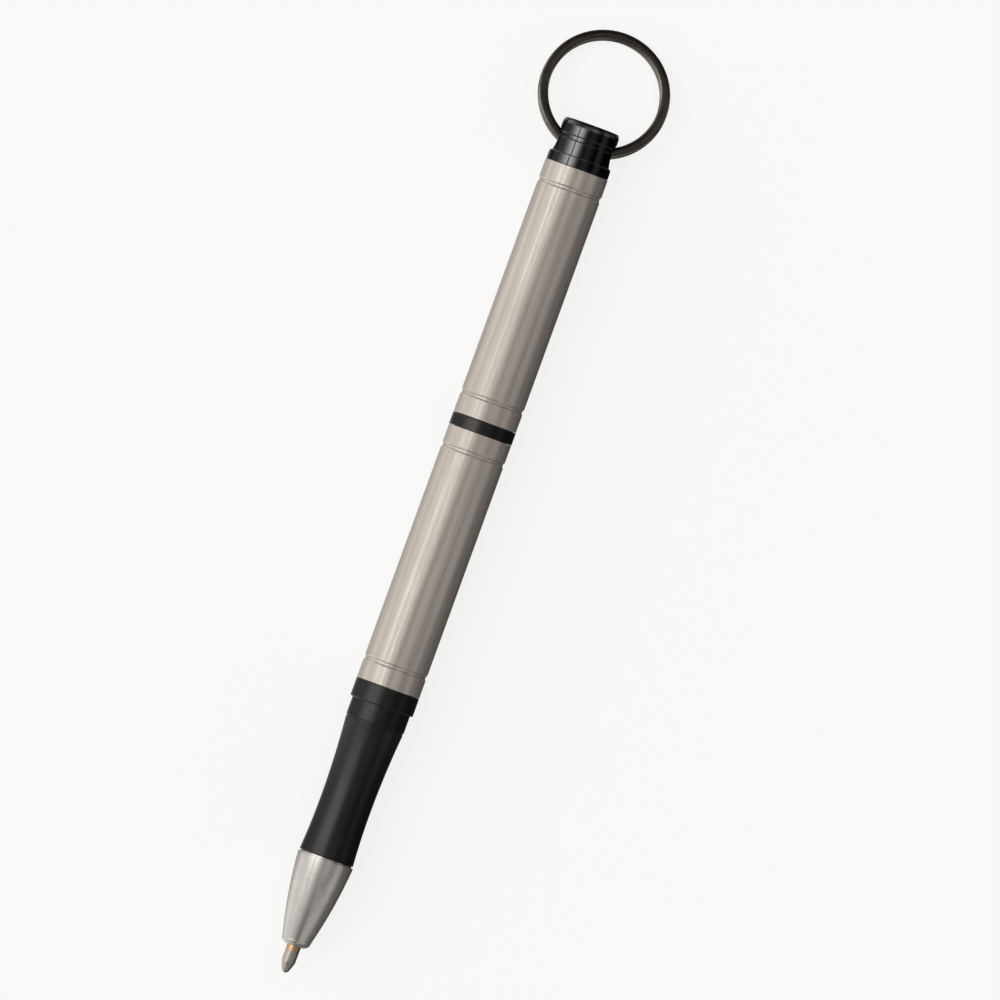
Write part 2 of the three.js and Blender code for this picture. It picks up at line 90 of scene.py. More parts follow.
RING = dict(mean_r=9.28, width=1.56, height=0.73, turn_gap=0.05)
RING_CENTRE_FROM_HOLE = 8.75
RING_STEP = dict(ending=17, length=26, end_gap=4)  # degrees: the step is inside the plug's hole
RING_TIP = dict(scale=0.72, length=3)  # the wire's ends taper to this scale over this many degrees
RING_DROOP = 13.06  # degrees that the ring hangs below the pen's axis

BARREL = dict(start=2.02, end=42.79, bore_r=4.2)
BAND = dict(start=0.02, end=1.98, r=5.025)
TAIL = dict(end=-5.2, land_r=4.6, land=2.35, neck=0.4, neck_r=4.42, stem_r=4.5, edge=0.45)
TAIL_SPIGOT_END = 8.0
TAIL_BORE = dict(r=3.1, bottom=-4.1)

THREAD = dict(pitch=0.75, root_r=3.32, crest_r=3.6, turns=5, start=37.65, base=0.5, crest=0.2)
THREAD_CLEARANCE = 0.08
BUSH = dict(start=36.4, end=41.6, bore_r=3.43)
SEAL = dict(station=42.18, mean_r=3.76, section_r=0.41)

SHANK = dict(start=37.2, end=50.0, press_r=3.9)
GRIP = dict(start=42.84, collar_end=45.78, neck_end=48.6, groove_end=48.9, end=70.2)
GRIP_R = dict(collar=5.015, neck=4.62, groove=4.5, rear=4.57, waist=3.975, front=4.285)
GRIP_BOW = dict(to_waist=-0.15, from_waist=-0.075)
WAIST_STATION = 61.9
REFILL_BORE_R = 3.05
CONE = dict(start=70.47, spigot=65.6, end=84.4, base_r=4.4, neck_r=4.08, bulge=0.29)
NOSE = dict(length=0.8, side_r=2.22, face_r=1.42, bulge=0.22)
CONE_SPIGOT_R = 3.58
CONE_SEAT = 73.6
CONE_INNER_R = 1.75
CONE_MOUTH = dict(start=82.2, r=1.22, taper=0.4)

REFILL = dict(tube_r=2.9, bore_r=2.6, tube_start=3.0, tube_end=73.2, plug_end=6.0, chamfer=0.4)
FLOAT = dict(start=19.4, end=21.9, lip=0.6, side=0.2, waist=0.3)
INK = dict(start=21.95, end=69.4)
HOLDER = dict(start=69.45, flange_end=73.52, end=85.24, nose_r=1.65, front_r=1.09, ink_r=0.6)
HOLDER_TAPER = dict(start=81.4, end=82.3)
TIP = dict(shank_start=81.9, shank_r=0.8, r=1.06, start=85.26, taper=86.96, rim_r=0.52, ink_r=0.3)
BALL = dict(station=88.23, r=0.5, socket_r=0.525, rim_past_centre=0.2)

# ---- Outlines -----------------------------------------------------------------------------------
# An outline is a list of (station, radius, fillet): along the outside from the tail to the front, and back
# along the inside. A solid piece's outline starts and ends on the axis.


def corner(before, point, after, fillet):
    """The points of one rounded corner, with the relief of each: 1 on an edge, -1 in an angle."""
    x, r = point
    to_before = Vector((before[0] - x, before[1] - r))
    to_after = Vector((after[0] - x, after[1] - r))
    reach = min(fillet, ROUNDING_LIMIT * to_before.length, ROUNDING_LIMIT * to_after.length)
    turn = to_before.x * to_after.y - to_before.y * to_after.x
    start = Vector(point) + to_before.normalized() * reach
    end = Vector(point) + to_after.normalized() * reach
    points = []
    for i in range(FILLET_STEPS + 1):
        s = i / FILLET_STEPS
        place = (1 - s) ** 2 * start + 2 * s * (1 - s) * Vector(point) + s * s * end
        points.append((place.x, place.y, math.copysign(math.sin(math.pi * s), turn)))
    # a point on the flat just past each end of the rounding keeps the flat's shading flat
    if SUPPORT_REACH * reach < ROUNDING_LIMIT * to_before.length:
        place = Vector(point) + to_before.normalized() * SUPPORT_REACH * reach
        points.insert(0, (place.x, place.y, 0.0))
    if SUPPORT_REACH * reach < ROUNDING_LIMIT * to_after.length:
        place = Vector(point) + to_after.normalized() * SUPPORT_REACH * reach
        points.append((place.x, place.y, 0.0))
    return points


def rounded_outline(outline):
    """The outline with its corners rounded, as (station, radius, relief)."""
    closed = outline[0][1] > 0
    count = len(outline)
    made = []
    for i, (x, r, fillet) in enumerate(outline):
        at_end = not closed and i in (0, count - 1)
        if at_end or fillet == 0:
            made.append((x, r, 0.0))
        else:
            made += corner(outline[i - 1][:2], (x, r), outline[(i + 1) % count][:2], fillet)
    return made


def bowed(start, end, bulge, steps):
    """Points along a bowed line; bulge is its height at the middle."""
    points = []
    for i in range(steps + 1):
        t = i / steps
        x = start[0] + (end[0] - start[0]) * t
        r = start[1] + (end[1] - start[1]) * t + 4 * bulge * t * (1 - t)
        points.append((x, r, 0))
    return points


def quarter_round(face, side, steps):
    """A quarter-ellipse from an end face's rim round to the side of the body."""
    points = []
    for i in range(steps + 1):
        angle = math.pi / 2 * i / steps
        x = side[0] + (face[0] - side[0]) * math.cos(angle)
        points.append((x, face[1] + (side[1] - face[1]) * math.sin(angle), 0))
    return points


def rolled_groove(station):
    """A soft groove pressed into a tube from outside."""
    half = ROLLED_GROOVE["width"] / 2
    floor = ROLLED_GROOVE["floor"] / 2
    floor_r = TUBE_R - ROLLED_GROOVE["depth"]
    return [(station - half, TUBE_R, 0.07), (station - floor, floor_r, 0.08),
            (station + floor, floor_r, 0.08), (station + half, TUBE_R, 0.07)]


def tube_outline(start, end, bore_r):
    """A tube with a rolled groove near each end and eased edges."""
    return [
        (start, bore_r, 0.05), (start, TUBE_R, TUBE_EDGE),
        *rolled_groove(start + ROLLED_GROOVE["from_end"]),
        *rolled_groove(end - ROLLED_GROOVE["from_end"]),
        (end, TUBE_R, TUBE_EDGE), (end, bore_r, 0.05)]


# ---- Meshes -------------------------------------------------------------------------------------


def at(station, y=0.0, z=0.0):
    """A place from a station and offsets from the pen's axis, in metres."""
    return Vector((STATION_ZERO + station * MM, y * MM, AXIS_Z + z * MM))


def piece(name, vertices, faces, relief=None):
    """A smooth piece from its vertices and faces. Its edges and angles are kept in the relief attribute."""
    mesh = bpy.data.meshes.new(name)
    mesh.from_pydata([tuple(v) for v in vertices], [], faces)
    mesh.validate()
    if relief is not None:
        attribute = mesh.attributes.new("relief", "FLOAT", "POINT")
        attribute.data.foreach_set("value", relief)
    made = bpy.data.objects.new(name, mesh)
    bpy.context.scene.collection.objects.link(made)
    return made


def turned(name, outline, segments=SEGMENTS, radius_at=None):
    """A body turned about the pen's axis. radius_at(station, angle, radius) may change a radius."""
    vertices, relief, rings = [], [], []
    for x, r, mark in rounded_outline(outline):
        first = len(vertices)
        if r < 1e-6:
            vertices.append(at(x))
            rings.append([first] * segments)
            relief.append(mark)
            continue
        for i in range(segments):
            angle = 2 * math.pi * i / segments
            here = radius_at(x, angle, r) if radius_at else r
            vertices.append(at(x, here * math.cos(angle), here * math.sin(angle)))
            relief.append(mark)
        rings.append(list(range(first, first + segments)))
    if outline[0][1] > 0:
        rings.append(rings[0])
    faces = []
    for near, far in zip(rings, rings[1:]):
        for i in range(segments):
            j = (i + 1) % segments
            faces.append(tuple(dict.fromkeys((near[i], near[j], far[j], far[i]))))
    return piece(name, vertices, faces, relief)


def swept(name, section, path, relief_at):
    """A closed section swept along a path of (origin, section x direction, section y direction, scale)."""
    vertices, relief, faces = [], [], []
    count = len(section)
    for origin, across, along, scale in path:
        for x, y in section:
            vertices.append(origin + (across * x + along * y) * scale)
            relief.append(relief_at(x, y))
    for k in range(len(path) - 1):
        for i in range(count):
            j = (i + 1) % count
            a, b = k * count, (k + 1) * count
            faces.append((a + i, a + j, b + j, b + i))
    faces.append(tuple(reversed(range(count))))
    faces.append(tuple(range((len(path) - 1) * count, len(path) * count)))
    return piece(name, vertices, faces, relief)


def cut(body, cutter):
    """Cuts one piece's shape from another and throws the cutter away."""
    tool = body.modifiers.new("cut", "BOOLEAN")
    tool.object = cutter
    tool.solver = "EXACT"
    bpy.context.view_layer.update()
    result = bpy.data.meshes.new_from_object(body.evaluated_get(bpy.context.evaluated_depsgraph_get()))
    body.modifiers.clear()
    body.data = result
    bpy.data.objects.remove(cutter)


def settle(made, body, node, look):
    """Gives a piece its smooth shading, its look and its body, and hides the CAD node that it stands for.
    """
    made.data.shade_smooth()
    made.data.set_sharp_from_angle(angle=math.radians(35))
    weights = made.modifiers.new("even_shading", "WEIGHTED_NORMAL")
    weights.keep_sharp = True
    made.data.materials.clear()
    made.data.materials.append(look)
    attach(made, body)
    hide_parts(node)
    return made


# ---- Materials ----------------------------------------------------------------------------------


class Look:
    """A material with one Principled shader and short ways to add patterns to it."""

    def __init__(self, name, **settings):
        self.material = bpy.data.materials.new(name)
        self.material.use_nodes = True
        self.tree = self.material.node_tree
        self.shader = self.tree.nodes["Principled BSDF"]
        self.place = self.tree.nodes.new("ShaderNodeTexCoord").outputs["Object"]
        for socket, value in settings.items():
            self.set(socket.replace("_", " ").title().replace("Ior", "IOR"), value)

    def set(self, socket, value):
        """Sets a socket of the shader to a value or links it to a node's output."""
        if isinstance(value, bpy.types.NodeSocket):
            self.tree.links.new(value, self.shader.inputs[socket])
        elif isinstance(value, tuple):
            self.shader.inputs[socket].default_value = (*value, 1)
        else:
            self.shader.inputs[socket].default_value = value

    def noise(self, scale, detail=3.0):
        """Noise from 0 to 1, with its own number of cycles a metre along X, Y and Z."""
        mapping = self.tree.nodes.new("ShaderNodeMapping")
        mapping.inputs["Scale"].default_value = scale
        texture = self.tree.nodes.new("ShaderNodeTexNoise")
        texture.inputs["Scale"].default_value = 1.0
        texture.inputs["Detail"].default_value = detail
        self.tree.links.new(self.place, mapping.inputs["Vector"])
        self.tree.links.new(mapping.outputs["Vector"], texture.inputs["Vector"])
        return texture.outputs["Fac"]

    def between(self, value, low, high, from_low=0.0, from_high=1.0):
        """The value stretched from one range to another, and held inside it."""
        node = self.tree.nodes.new("ShaderNodeMapRange")
        node.inputs["From Min"].default_value = from_low
        node.inputs["From Max"].default_value = from_high
        node.inputs["To Min"].default_value = low
        node.inputs["To Max"].default_value = high
        self.tree.links.new(value, node.inputs["Value"])
        return node.outputs["Result"]

    def sum(self, a, b, operation="ADD"):
        """Two values joined by a math operation."""
        node = self.tree.nodes.new("ShaderNodeMath")
        node.operation = operation
        for socket, value in zip(node.inputs, (a, b)):
            if isinstance(value, bpy.types.NodeSocket):
                self.tree.links.new(value, socket)
            else:
                socket.default_value = value
        return node.outputs[0]

    def mix(self, share, first, second):
        """One colour turning into another as the share goes from 0 to 1."""
        node = self.tree.nodes.new("ShaderNodeMix")
        node.data_type = "RGBA"
        self.tree.links.new(share, node.inputs["Factor"])
        for socket, colour in ((node.inputs[6], first), (node.inputs[7], second)):
            if isinstance(colour, bpy.types.NodeSocket):
                self.tree.links.new(colour, socket)
            else:
                socket.default_value = (*colour, 1)
        return node.outputs[2]

    def relief(self, low, high):
        """The piece's own edges (1) or angles (-1), as 0 at low up to 1 at high."""
        node = self.tree.nodes.new("ShaderNodeAttribute")
        node.attribute_name = "relief"
        return self.between(node.outputs["Fac"], 0.0, 1.0, low, high)

    def worn_edges(self, patches):
        """Where the edges are worn: all of them a little, and more in patches."""
        rubbed = self.between(self.noise(patches, 4.0), 0.35, 1.0, 0.42, 0.6)
        return self.sum(self.relief(0.15, 0.9), rubbed, "MULTIPLY")

    def bump(self, height, distance, strength=1.0, below=None):
        """A bump whose full height is the given distance in metres."""
        node = self.tree.nodes.new("ShaderNodeBump")
        node.inputs["Strength"].default_value = strength
        node.inputs["Distance"].default_value = distance
        self.tree.links.new(height, node.inputs["Height"])
        if below is not None:
            self.tree.links.new(below, node.inputs["Normal"])
        return node.outputs["Normal"]

    def brushed_round(self, amount):
        """Fine marks round the pen's axis, which stretch the highlights along the pen."""
        tangent = self.tree.nodes.new("ShaderNodeTangent")
        tangent.direction_type = "RADIAL"
        tangent.axis = "X"
        self.set("Anisotropic", amount)
        self.set("Anisotropic Rotation", 0.25)
        self.tree.links.new(tangent.outputs["Tangent"], self.shader.inputs["Tangent"])


def tube_look():
    """Warm satin steel, brushed lengthwise, with eased bright edges, and painted shade that darkens its
    inside angles.
    """
    look = Look("tube_steel", metallic=0.65)
    fine = look.noise((120, 9000, 9000), 2.0)
    streaks = look.noise((35, 1500, 1500), 5.0)
    smudges = look.noise((90, 90, 90), 3.0)
    colour = look.mix(look.between(streaks, 0, 1, 0.3, 0.7), (0.61, 0.56, 0.505), (0.78, 0.725, 0.665))
    bright_edges = look.worn_edges((700, 700, 700))
    # painted shade: the colour turns dark brown-grey in the piece's inside angles, where shade falls
    painted_crease_shade = look.relief(-0.15, -1.0)
    colour = look.mix(look.sum(painted_crease_shade, 0.55, "MULTIPLY"), colour, (0.16, 0.145, 0.13))
    look.set("Base Color", look.mix(bright_edges, colour, (0.8, 0.77, 0.72)))
    brushed = look.between(fine, 0.33, 0.43, 0.25, 0.75)
    roughness = look.sum(brushed, look.between(smudges, -0.03, 0.04, 0.3, 0.7))
    look.set("Roughness", look.sum(roughness, look.sum(bright_edges, -0.1, "MULTIPLY")))
    look.set("Normal", look.bump(fine, 0.000004, 1.0, look.bump(streaks, 0.00001, 1.0)))
    look.brushed_round(0.92)
    return look.material


def turned_metal_look(name, dark, light, roughness, rings=9000.0, ring_height=0.000003, metallic=1.0):
    """Bright metal turned on a lathe: fine rings round the axis, with edges polished by use, and painted
    shade that darkens its inside angles.
    """
    look = Look(name, metallic=metallic)
    cuts = look.noise((rings, 160, 160), 3.0)
    patches = look.noise((260, 500, 500), 4.0)
    colour = look.mix(look.between(patches, 0, 1, 0.3, 0.7), dark, light)
    # painted shade: the colour falls to a quarter of the dark tone in the piece's inside angles, where
    # shade falls
    painted_crease_shade = look.relief(-0.15, -1.0)
    colour = look.mix(look.sum(painted_crease_shade, 0.6, "MULTIPLY"), colour, tuple(0.25 * c for c in dark))
    bright_edges = look.worn_edges((900, 900, 900))
    look.set("Base Color", look.mix(bright_edges, colour, tuple(min(1.0, 1.25 * c) for c in light)))
    spread = look.between(cuts, roughness - 0.05, roughness + 0.06, 0.25, 0.75)
    look.set("Roughness", look.sum(spread, look.between(patches, -0.02, 0.03, 0.3, 0.7)))
    look.set("Normal", look.bump(cuts, ring_height))
    look.brushed_round(0.8)
    return look.material


def gloss_black_look():
    """Gloss black plating with faint polishing marks and slightly rubbed edges."""
    look = Look("plug_gloss_black", metallic=0.0, ior=1.75)
    marks = look.noise((5000, 350, 350), 3.0)
    smudges = look.noise((400, 400, 400), 4.0)
    bright_edges = look.worn_edges((1200, 1200, 1200))
    rubbed = look.sum(bright_edges, 0.5, "MULTIPLY")
    look.set("Base Color", look.mix(rubbed, (0.0015, 0.0015, 0.0015), (0.04, 0.038, 0.036)))
    dulled = look.sum(bright_edges, 0.12, "MULTIPLY")
    look.set("Roughness", look.sum(look.between(smudges, 0.06, 0.12, 0.35, 0.7), dulled))
    look.set("Normal", look.bump(marks, 0.0000012))
    return look.material


def satin_black_look():
    """Satin black coating with a fine even grain, slightly polished where fingers hold it."""
    look = Look("satin_black", metallic=0.0, ior=1.48, sheen_weight=0.06, sheen_roughness=0.35)
    grain = look.noise((14000, 14000, 14000), 2.0)
    handled = look.noise((180, 240, 240), 4.0)
    bright_edges = look.worn_edges((1100, 1100, 1100))
    colour = look.mix(look.between(handled, 0, 1, 0.35, 0.7), (0.001, 0.001, 0.001), (0.002, 0.002, 0.002))
    look.set("Base Color", look.mix(look.sum(bright_edges, 0.45, "MULTIPLY"), colour, (0.06, 0.06, 0.062)))
    polish = look.between(handled, 0.02, -0.04, 0.35, 0.7)
    look.set("Roughness", look.sum(look.between(grain, 0.28, 0.36, 0.3, 0.7), polish))
    look.set("Normal", look.bump(grain, 0.000006))
    return look.material


def gunmetal_look():
    """Dark plated wire, with a painted highlight: its colour is much brighter along both flanks of its
    section.
    """
    look = Look("ring_gunmetal", metallic=1.0)
    drawn = look.noise((2500, 2500, 2500), 4.0)
    patches = look.noise((500, 500, 500), 4.0)
    colour = look.mix(look.between(patches, 0, 1, 0.3, 0.7), (0.034, 0.031, 0.028), (0.055, 0.05, 0.046))
    # painted highlight: the colour turns light grey on both flanks of the wire, in patches, in place of
    # light caught there
    bright_edges = look.sum(look.relief(0.0, 0.9), look.between(patches, 0.75, 1.0, 0.35, 0.65), "MULTIPLY")
    look.set("Base Color", look.mix(bright_edges, colour, (0.27, 0.25, 0.225)))
    look.set("Roughness", look.between(drawn, 0.17, 0.27, 0.3, 0.7))
    look.set("Normal", look.bump(drawn, 0.000004))
    return look.material


def moulded_look(name, dark, light, roughness, grain_height=0.000005):
    """Moulded rubber or plastic with a fine skin and slight mottling."""
    look = Look(name, metallic=0.0)
    skin = look.noise((9000, 9000, 9000), 3.0)
    patches = look.noise((900, 900, 900), 3.0)
    look.set("Base Color", look.mix(look.between(patches, 0, 1, 0.3, 0.7), dark, light))
    look.set("Roughness", look.between(skin, roughness - 0.06, roughness + 0.06, 0.3, 0.7))
    look.set("Normal", look.bump(skin, grain_height))
    return look.material


# ---- Cap ----------------------------------------------------------------------------------------


def cap_tube():
    return turned("cap_tube_brushed", tube_outline(CAP["end"], CAP["mouth"], CAP["bore_r"]))


def cross_hole_cutter():
    """The hole for the key ring across the pen, flared at both mouths."""
    r = CROSS_HOLE["r"]
    flare = CROSS_HOLE["flare"]
    side = PLUG["stem_r"]
    beyond = 0.6
    reach = side + beyond
    mouth = r + flare
    cutter = turned("cross_hole_cutter", [
        (-reach, 0, 0), (-reach, mouth + beyond, 0), (-side, mouth, 0.25), (-side + flare, r, 0.3),
        (side - flare, r, 0.3), (side, mouth, 0.25), (reach, mouth + beyond, 0), (reach, 0, 0)],
        SMALL_SEGMENTS)
    centre = at(PLUG["end"] + CROSS_HOLE["from_end"])
    across = Matrix.Rotation(math.pi / 2, 4, "Z")
    cutter.data.transform(Matrix.Translation(centre) @ across @ Matrix.Translation(-at(0)))
    return cutter


def cap_end_plug():
    end = PLUG["end"]
    spigot_r = CAP["bore_r"] - PRESS_GAP
    spigot_end = CAP["end"] + PLUG["spigot"]
    front = CAP["end"] - FACE_GAP
    body = turned("cap_end_plug_gloss", [
        (end, 0, 0),
        (end, PLUG_FACE["r"] - 0.4, 0),
        *quarter_round((end, PLUG_FACE["r"]), (end + PLUG_FACE["round_length"], PLUG["stem_r"]), 14),
        (end + PLUG_GROOVE["start"], PLUG["stem_r"], 0.05),
        (end + PLUG_GROOVE["start"] + 0.1, PLUG_GROOVE["r"], 0.04),
        (end + PLUG_GROOVE["end"] - 0.08, PLUG_GROOVE["r"], 0.04),
        (end + PLUG_GROOVE["end"], PLUG["land_r"], 0.07),
        (PLUG["collar_end"], PLUG["land_r"], 0.05),
        (PLUG["collar_end"], PLUG["collar_r"], 0.12),
        (front, PLUG["collar_r"], 0.07),
        (front, spigot_r, 0.02),
        (spigot_end, spigot_r, 0.15),
        (spigot_end, PLUG_BORE["mouth_r"], 0.1),
        (CAP["end"] - PLUG_BORE["cone_start"], PLUG_BORE["mouth_r"], 0.1),
        (CAP["end"] - PLUG_BORE["cone_end"], PLUG_BORE["r"], 0.1),
        (end + PLUG_BORE["bottom"], PLUG_BORE["r"], 0),
        (end + PLUG_BORE["bottom"] - PLUG_BORE["drill_point"], 0, 0)])
    cut(body, cross_hole_cutter())
    return body


def key_ring():
    """Two close turns of flat wire with a domed section, threaded through the cross hole."""
    rise = RING["height"] + RING["turn_gap"]
    step_start = 360 - RING_STEP["length"] - RING_STEP["end_gap"]
    step_end = 360 - RING_STEP["end_gap"]
    sweep = step_start + step_end
    corners = 28
    section = []
    for i in range(corners):
        angle = 2 * math.pi * i / corners
        across = RING["width"] / 2 * math.cos(angle)
        section.append((across * MM, RING["height"] / 2 * math.sin(angle) * MM))
    droop = math.radians(-RING_DROOP)
    hang = Matrix.Translation(at(PLUG["end"] + CROSS_HOLE["from_end"])) @ Matrix.Rotation(droop, 4, "Y")
    turn_only = Matrix.Rotation(droop, 3, "Y")
    path = []
    steps = 420
    for k in range(steps + 1):
        turned_by = sweep * k / steps
        angle = math.radians(RING_STEP["ending"] + turned_by)
        t = min(1.0, max(0.0, (turned_by - step_start) / (step_end - step_start)))
        height = rise * (t * t * (3 - 2 * t) - 0.5)
        outward = Vector((math.cos(angle), math.sin(angle), 0))
        from_tip = min(k, steps - k) / steps * sweep
        filled = math.sqrt(min(1.0, from_tip / RING_TIP["length"]))
        eased = min(1.0, RING_TIP["scale"] + (1 - RING_TIP["scale"]) * filled)
        middle = outward * RING["mean_r"] - Vector((RING_CENTRE_FROM_HOLE, 0, -height))
        path.append((hang @ (middle * MM), turn_only @ outward, turn_only @ Vector((0, 0, -1)), eased))
    half = RING["width"] / 2 * MM
    # the relief rises towards both flanks of the section, where the ring's look paints its highlight
    return swept("key_ring_wire", section, path, lambda x, y: 2 * max(0.0, abs(x) / half - 0.5))


# ---- Barrel -------------------------------------------------------------------------------------


def barrel_tube():
    return turned("barrel_tube_brushed", tube_outline(BARREL["start"], BARREL["end"], BARREL["bore_r"]))


def tail_band():
    return turned("tail_band_satin", [
        (BAND["start"], BARREL["bore_r"], 0.05), (BAND["start"], BAND["r"], 0.14),
        (BAND["end"], BAND["r"], 0.08), (BAND["end"], BARREL["bore_r"], 0.05)])


def tail_plug():
    spigot_r = BARREL["bore_r"] - PRESS_GAP
    land_start = -TAIL["land"]
    neck_start = land_start - TAIL["neck"]
    return turned("tail_plug_gloss", [
        (TAIL["end"], 0, 0),
        (TAIL["end"], TAIL["stem_r"] - TAIL["edge"], 0.12),
        (TAIL["end"] + TAIL["edge"], TAIL["stem_r"], 0.12),
        (neck_start - 0.05, TAIL["stem_r"], 0.04),
        (neck_start, TAIL["neck_r"], 0.03),
        (land_start - 0.05, TAIL["neck_r"], 0.03),
        (land_start, TAIL["land_r"], 0.06),
        (0, TAIL["land_r"], 0.05),
        (0, spigot_r, 0.03),
        (TAIL_SPIGOT_END, spigot_r, 0.15),
        (TAIL_SPIGOT_END, TAIL_BORE["r"], 0.1),
        (TAIL_BORE["bottom"], TAIL_BORE["r"], 0.1),
        (TAIL_BORE["bottom"], 0, 0)])


def from_ridge(station, angle):
    """How far a place is from the nearest turn of the thread's ridge, and that turn's number."""
    around = (angle / (2 * math.pi) + 0.25) % 1.0  # the ridge starts on the underside
    turns = (station - THREAD["start"]) / THREAD["pitch"] - around
    nearest = round(turns)
    return abs(turns - nearest) * THREAD["pitch"], nearest + around


def thread_stations(start, end):
    steps = round((end - start) / THREAD["pitch"] * 22)
    return [start + (end - start) * i / steps for i in range(steps + 1)]


def bush_bore(station, angle, radius):
    """The internal thread cut into the bush's bore."""
    if radius > BUSH["bore_r"] + 0.01:
        return radius
    distance, _ = from_ridge(station, angle)
    slope = (THREAD["base"] - THREAD["crest"]) / 2 / (THREAD["crest_r"] - THREAD["root_r"])
    depth = THREAD["root_r"] + (THREAD["base"] / 2 + THREAD_CLEARANCE - distance) / slope
    return max(radius, min(depth, THREAD["crest_r"] + THREAD_CLEARANCE))


def thread_bush():
    outer = BARREL["bore_r"] - PRESS_GAP
    bore = [(x, BUSH["bore_r"], 0) for x in reversed(thread_stations(BUSH["start"], BUSH["end"]))]
    return turned("thread_bush_brass", [(BUSH["start"], outer, 0.1), (BUSH["end"], outer, 0.1), *bore],
                  SMALL_SEGMENTS, bush_bore)


# ---- Writing section ----------------------------------------------------------------------------


def shank_ridge(station, angle, radius):
    """The external thread standing on the shank, fading out at both ends."""
    if abs(radius - THREAD["root_r"]) > 0.001:
        return radius
    distance, turn = from_ridge(station, angle)
    flank = (THREAD["base"] - THREAD["crest"]) / 2
    share = min(1.0, max(0.0, (THREAD["base"] / 2 - distance) / flank))
    run = min(1.0, max(0.0, min(turn, THREAD["turns"] - turn) * 5))
    return radius + (THREAD["crest_r"] - THREAD["root_r"]) * share * run


def thread_shank():
    shoulder = GRIP["start"] + END_ROOM
    press_r = SHANK["press_r"] - PRESS_GAP
    root = [(x, THREAD["root_r"], 0) for x in thread_stations(SHANK["start"] + 0.02, shoulder)]
    return turned("thread_shank_brass", [
        (SHANK["start"], REFILL_BORE_R, 0.05), (SHANK["start"], THREAD["root_r"] - 0.02, 0), *root,
        (shoulder, press_r, 0.05), (SHANK["end"], press_r, 0.1), (SHANK["end"], REFILL_BORE_R, 0.05)],
        SMALL_SEGMENTS, shank_ridge)


def thread_seal():
    """A round rubber ring in the screw joint."""
    steps = 24
    outline = []
    for i in range(steps):
        angle = math.pi - 2 * math.pi * i / steps
        outline.append((SEAL["station"] + SEAL["section_r"] * math.cos(angle),
                        SEAL["mean_r"] + SEAL["section_r"] * math.sin(angle), 0))
    return turned("thread_seal_rubber", outline, SMALL_SEGMENTS)


def grip_section():
    waist = (WAIST_STATION, GRIP_R["waist"])
    rear = (GRIP["groove_end"] + 0.06, GRIP_R["rear"])
    front = (GRIP["end"] - 0.1, GRIP_R["front"])
    socket_r = CONE_SPIGOT_R + PRESS_GAP
    return turned("grip_section_satin", [
        (GRIP["start"], SHANK["press_r"], 0.05),
        (GRIP["start"], GRIP_R["collar"], 0.12),
        (GRIP["collar_end"], GRIP_R["collar"], 0.15),
        (GRIP["collar_end"], GRIP_R["neck"], 0.05),
        (GRIP["neck_end"], GRIP_R["neck"], 0.12),
        (GRIP["neck_end"] + 0.05, GRIP_R["groove"], 0.03),
        (GRIP["groove_end"], GRIP_R["groove"], 0.03),
        (*rear, 0.05),
        *bowed(rear, waist, GRIP_BOW["to_waist"], 36)[1:],
        *bowed(waist, front, GRIP_BOW["from_waist"], 24)[1:-1],
        (GRIP["end"], GRIP_R["front"], 0.12),
        (GRIP["end"], socket_r, 0.05),
        (CONE["spigot"] - END_ROOM, socket_r, 0.05),
        (CONE["spigot"] - END_ROOM, REFILL_BORE_R, 0.05),
        (SHANK["end"] + END_ROOM, REFILL_BORE_R, 0.05),
        (SHANK["end"] + END_ROOM, SHANK["press_r"], 0.05)])


def nose_cone():
    nose_start = (CONE["end"] - NOSE["length"], NOSE["side_r"])
    nose_end = (CONE["end"], NOSE["face_r"])
    base = (CONE["start"] + 0.12, CONE["base_r"])
    return turned("nose_cone_satin", [
        (CONE["spigot"], REFILL_BORE_R, 0.05),
        (CONE["spigot"], CONE_SPIGOT_R, 0.15),
        (GRIP["end"] + FACE_GAP, CONE_SPIGOT_R, 0.02),
        (GRIP["end"] + FACE_GAP, CONE["neck_r"], 0.02),
        (CONE["start"], CONE["neck_r"], 0.02),
        (CONE["start"], CONE["base_r"], 0.1),
        *bowed(base, nose_start, CONE["bulge"], 48)[1:-1],
        *bowed(nose_start, nose_end, NOSE["bulge"], 14),
        (CONE["end"], CONE_MOUTH["r"], 0.04),
        (CONE_MOUTH["start"], CONE_MOUTH["r"], 0.05),
        (CONE_MOUTH["start"] - CONE_MOUTH["taper"], CONE_INNER_R, 0.05),
        (CONE_SEAT, CONE_INNER_R, 0.05),
        (CONE_SEAT, REFILL_BORE_R, 0.05)])


# ---- Refill -------------------------------------------------------------------------------------


def refill_tube():
    return turned("refill_tube_drawn", [
        (REFILL["tube_start"], REFILL["bore_r"], 0.04), (REFILL["tube_start"], REFILL["tube_r"], 0.06),
        (REFILL["tube_end"], REFILL["tube_r"], 0.06), (REFILL["tube_end"], REFILL["bore_r"], 0.04)],
        SMALL_SEGMENTS)


def refill_end_plug():
    inner_r = REFILL["bore_r"] - PRESS_GAP
    shoulder = REFILL["tube_start"] - FACE_GAP
    return turned("refill_end_plug_turned", [
        (0, 0, 0),
        (0, REFILL["tube_r"] - REFILL["chamfer"], 0.1),
        (REFILL["chamfer"], REFILL["tube_r"], 0.1),
        (shoulder, REFILL["tube_r"], 0.05), (shoulder, inner_r, 0.03), (REFILL["plug_end"], inner_r, 0.2),
        (REFILL["plug_end"], 0, 0)], SMALL_SEGMENTS)


